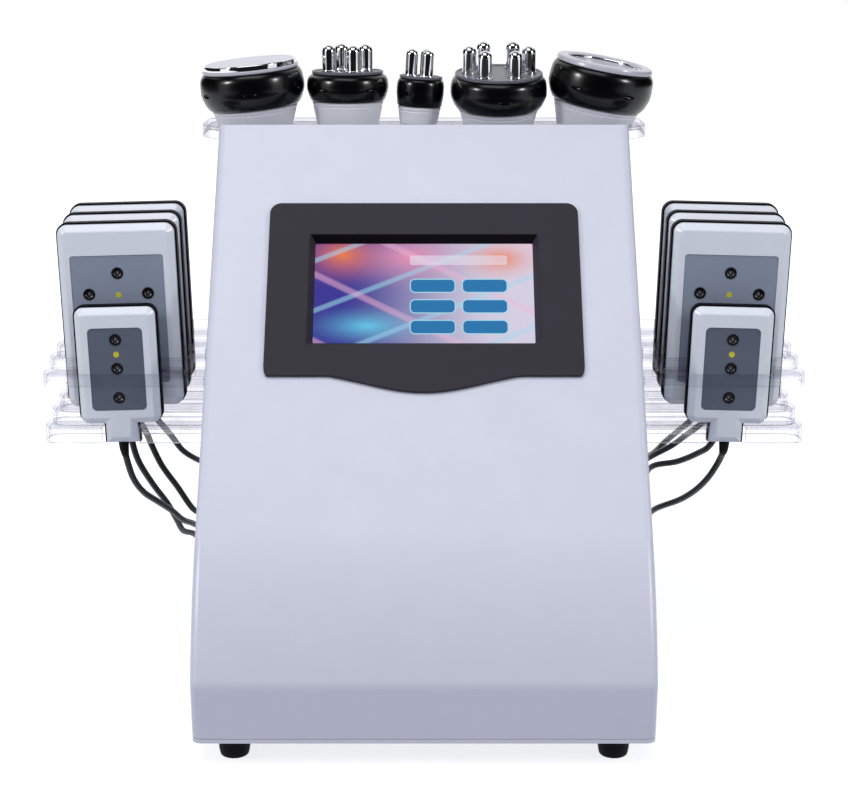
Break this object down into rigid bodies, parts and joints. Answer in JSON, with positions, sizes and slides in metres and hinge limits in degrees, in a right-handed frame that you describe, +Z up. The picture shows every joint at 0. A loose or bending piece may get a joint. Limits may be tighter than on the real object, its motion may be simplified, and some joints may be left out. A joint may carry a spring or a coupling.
{
  "type": "cavitation slimming machine",
  "caption": "Table-top body-shaping machine: wedge housing with a sloping touch screen, handpieces in a rack on top and laser pads in clear racks at both sides.",
  "frame": {"origin": "on the ground, under the middle of the machine's own plan, without its free cords", "axes": "+X to the right as seen from the screen's side, +Y to the rear, +Z up"},
  "size_m": [0.618, 0.5302, 0.5114],
  "materials": {
    "white_moulding": "satin moulded plastic",
    "black_rubber": "matt rubber",
    "black_gloss": "gloss moulded plastic",
    "fan_plastic": "matt moulded plastic",
    "screen_glass": "lit display behind glass",
    "clear_acrylic": "clear moulded acrylic",
    "circuit_board": "solder mask",
    "zinc_sheet": "plain sheet",
    "satin_metal": "satin anodised",
    "ring_gloss": "gloss moulded plastic",
    "polished_metal": "polished",
    "face_plastic": "pale gloss plastic",
    "cup_plastic": "grey translucent plastic",
    "pad_moulding": "white moulded plastic",
    "cord_rubber": "smooth sheath"
  },
  "bodies": {
    "machine": {"housing_cover": "white_moulding", "base_tray": "white_moulding", "rear_panel": "white_moulding", "foot_front_left": "black_rubber", "foot_front_right": "black_rubber", "foot_rear_left": "black_rubber", "foot_rear_right": "black_rubber", "screen_bezel": "black_gloss", "mains_inlet": "black_gloss", "pad_socket": "black_gloss", "cooling_fan": "fan_plastic", "touch_screen": "screen_glass", "handle_rack": "clear_acrylic", "rack_left_lower": "clear_acrylic", "rack_left_upper": "clear_acrylic", "rack_right_lower": "clear_acrylic", "rack_right_upper": "clear_acrylic", "control_board": "circuit_board", "power_supply": "zinc_sheet", "vacuum_pump": "zinc_sheet", "lead_left_small": "cord_rubber", "lead_left_front": "cord_rubber", "lead_left_middle": "cord_rubber", "lead_left_back": "cord_rubber", "lead_right_small": "cord_rubber", "lead_right_front": "cord_rubber", "lead_right_middle": "cord_rubber", "lead_right_back": "cord_rubber", "lead_splitter": "cord_rubber", "trunk_coil": "cord_rubber", "trunk_cord": "cord_rubber", "pad_plug": "cord_rubber"},
    "ultrasonic_handpiece": {"ultrasonic_neck": "satin_metal", "ultrasonic_ring": "ring_gloss", "ultrasonic_disc": "polished_metal"},
    "four_pole_handpiece": {"four_pole_neck": "satin_metal", "four_pole_ring": "ring_gloss", "four_pole_plate": "face_plastic", "four_pole_electrodes": "polished_metal"},
    "three_pole_handpiece": {"three_pole_neck": "satin_metal", "three_pole_ring": "ring_gloss", "three_pole_plate": "face_plastic", "three_pole_electrodes": "polished_metal"},
    "six_pole_handpiece": {"six_pole_neck": "satin_metal", "six_pole_ring": "ring_gloss", "six_pole_plate": "face_plastic", "six_pole_electrodes": "polished_metal"},
    "vacuum_handpiece": {"vacuum_neck": "satin_metal", "vacuum_ring": "ring_gloss", "vacuum_cup": "cup_plastic"},
    "pad_left_small_body": {"pad_left_small": "pad_moulding"},
    "pad_left_front_body": {"pad_left_front": "pad_moulding"},
    "pad_left_middle_body": {"pad_left_middle": "pad_moulding"},
    "pad_left_back_body": {"pad_left_back": "pad_moulding"},
    "pad_right_small_body": {"pad_right_small": "pad_moulding"},
    "pad_right_front_body": {"pad_right_front": "pad_moulding"},
    "pad_right_middle_body": {"pad_right_middle": "pad_moulding"},
    "pad_right_back_body": {"pad_right_back": "pad_moulding"},
    "rocker": {"power_switch": "black_gloss"},
    "rotor": {"fan_rotor": "fan_plastic"}
  },
  "joints": [
    {"name": "ultrasonic_lift", "type": "slide", "parent": "machine", "child": "ultrasonic_handpiece", "axis": [-0.0958, -0.0349, 0.9948], "range_m": [0, 0.08]},
    {"name": "four_pole_lift", "type": "slide", "parent": "machine", "child": "four_pole_handpiece", "axis": [0, 0, 1], "range_m": [0, 0.08]},
    {"name": "three_pole_lift", "type": "slide", "parent": "machine", "child": "three_pole_handpiece", "axis": [0.061, 0, 0.9981], "range_m": [0, 0.08]},
    {"name": "six_pole_lift", "type": "slide", "parent": "machine", "child": "six_pole_handpiece", "axis": [0, -0.1219, 0.9925], "range_m": [0, 0.08]},
    {"name": "vacuum_lift", "type": "slide", "parent": "machine", "child": "vacuum_handpiece", "axis": [0.1819, -0.061, 0.9814], "range_m": [0, 0.08]},
    {"name": "pad_left_small_lift", "type": "slide", "parent": "machine", "child": "pad_left_small_body", "axis": [-0.0262, 0, 0.9997], "range_m": [0, 0.07]},
    {"name": "pad_left_front_lift", "type": "slide", "parent": "machine", "child": "pad_left_front_body", "axis": [-0.0262, 0, 0.9997], "range_m": [0, 0.07]},
    {"name": "pad_left_middle_lift", "type": "slide", "parent": "machine", "child": "pad_left_middle_body", "axis": [-0.0262, 0, 0.9997], "range_m": [0, 0.07]},
    {"name": "pad_left_back_lift", "type": "slide", "parent": "machine", "child": "pad_left_back_body", "axis": [-0.0262, 0, 0.9997], "range_m": [0, 0.07]},
    {"name": "pad_right_small_lift", "type": "slide", "parent": "machine", "child": "pad_right_small_body", "axis": [0.0262, 0, 0.9997], "range_m": [0, 0.07]},
    {"name": "pad_right_front_lift", "type": "slide", "parent": "machine", "child": "pad_right_front_body", "axis": [0.0262, 0, 0.9997], "range_m": [0, 0.07]},
    {"name": "pad_right_middle_lift", "type": "slide", "parent": "machine", "child": "pad_right_middle_body", "axis": [0.0262, 0, 0.9997], "range_m": [0, 0.07]},
    {"name": "pad_right_back_lift", "type": "slide", "parent": "machine", "child": "pad_right_back_body", "axis": [0.0262, 0, 0.9997], "range_m": [0, 0.07]},
    {"name": "rocker_tilt", "type": "hinge", "parent": "machine", "child": "rocker", "pos_m": [-0.13, 0.1923, 0.09], "axis": [1, 0, 0], "range_deg": [-18, 0]},
    {"name": "rotor_spin", "type": "hinge", "parent": "machine", "child": "rotor", "pos_m": [0.085, 0.1777, 0.15], "axis": [0, 1, 0], "continuous": true}
  ]
}
